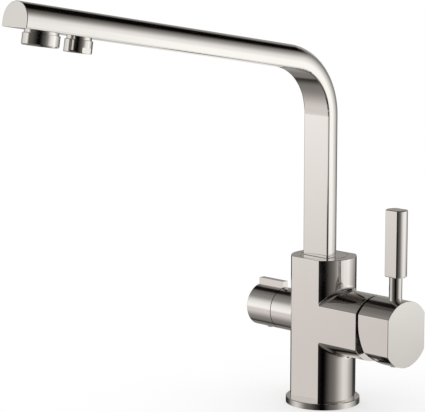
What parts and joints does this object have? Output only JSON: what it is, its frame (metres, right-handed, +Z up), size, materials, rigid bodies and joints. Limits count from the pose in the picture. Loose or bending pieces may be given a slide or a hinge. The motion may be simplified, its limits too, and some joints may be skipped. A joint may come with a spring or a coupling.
{
  "type": "kitchen mixer tap",
  "caption": "Deck-mounted kitchen mixer tap with a swivelling D-section spout, a side mixing lever and a knob for filtered water from its own outlet.",
  "frame": {"origin": "centre of the base ring's underside, on the deck", "axes": "+Z up along the upright, +X along the mixer arm, the spout points to -Y at rest"},
  "size_m": [0.1427, 0.3142, 0.3683],
  "materials": {
    "polished_nickel": "polished nickel plate on brass",
    "brass": "machined brass",
    "black_rubber": "moulded black rubber",
    "cartridge_plastic": "moulded acetal",
    "white_plastic": "moulded white plastic",
    "grey_plastic": "moulded grey plastic",
    "black_plastic": "moulded black plastic",
    "ceramic": "lapped alumina",
    "steel": "zinc-plated steel"
  },
  "bodies": {
    "tap": {"tap_body": "polished_nickel", "base_ring": "polished_nickel", "inlet_foot": "brass", "cartridge_nut": "brass", "filter_headwork": "brass", "fixing_nut": "brass", "base_seal": "black_rubber", "clamp_rubber": "black_rubber", "cartridge_port_seals": "black_rubber", "filter_seat_seal": "black_rubber", "cartridge_base": "cartridge_plastic", "cartridge_shell": "cartridge_plastic", "spout_glide_ring": "white_plastic", "cartridge_cover": "black_plastic", "cartridge_fixed_disc": "ceramic", "filter_fixed_disc": "ceramic", "fixing_stud": "steel", "clamp_plate": "steel", "spout_lock_screw": "steel"},
    "spout": {"spout_tube": "polished_nickel", "spout_end_plate": "polished_nickel", "spout_spigot": "polished_nickel", "spout_o_rings": "black_rubber", "filter_tube": "white_plastic", "outlet_neck": "polished_nickel", "aerator_ring": "polished_nickel", "aerator_insert": "white_plastic", "aerator_washer": "black_rubber", "filter_neck": "polished_nickel", "filter_nozzle": "polished_nickel", "filter_insert": "white_plastic", "filter_washer": "black_rubber"},
    "turret": {"cartridge_turret": "cartridge_plastic", "cartridge_pin": "steel"},
    "handle": {"cartridge_stem": "steel", "handle_cap": "polished_nickel", "lever_neck": "polished_nickel", "lever_grip": "polished_nickel", "handle_screw": "steel", "handle_plug": "grey_plastic"},
    "valve_disc": {"cartridge_moving_disc": "ceramic"},
    "knob": {"filter_spindle": "brass", "spindle_o_ring": "black_rubber", "filter_moving_disc": "ceramic", "filter_knob": "polished_nickel", "knob_bar": "polished_nickel", "knob_screw": "steel", "knob_plug": "grey_plastic"}
  },
  "joints": [
    {"name": "spout_swivel", "type": "hinge", "parent": "tap", "child": "spout", "pos_m": [0, 0, 0.11], "axis": [0, 0, 1], "continuous": true},
    {"name": "mixer_turn", "type": "hinge", "parent": "tap", "child": "turret", "pos_m": [0.033, 0, 0.0631], "axis": [1, 0, 0], "range_deg": [-45, 45]},
    {"name": "lever_tilt", "type": "hinge", "parent": "turret", "child": "handle", "pos_m": [0.033, 0, 0.0631], "axis": [0, 1, 0], "range_deg": [0, 20]},
    {"name": "disc_slide", "type": "slide", "parent": "turret", "child": "valve_disc", "axis": [0, 0, 1], "range_m": [0, 0.00247]},
    {"name": "filter_turn", "type": "hinge", "parent": "tap", "child": "knob", "pos_m": [-0.05, 0, 0.0642], "axis": [1, 0, 0], "range_deg": [0, 90]}
  ],
  "couplings": [
    {"joint": "disc_slide", "follows": "lever_tilt", "m_per_rad": 0.00705}
  ]
}
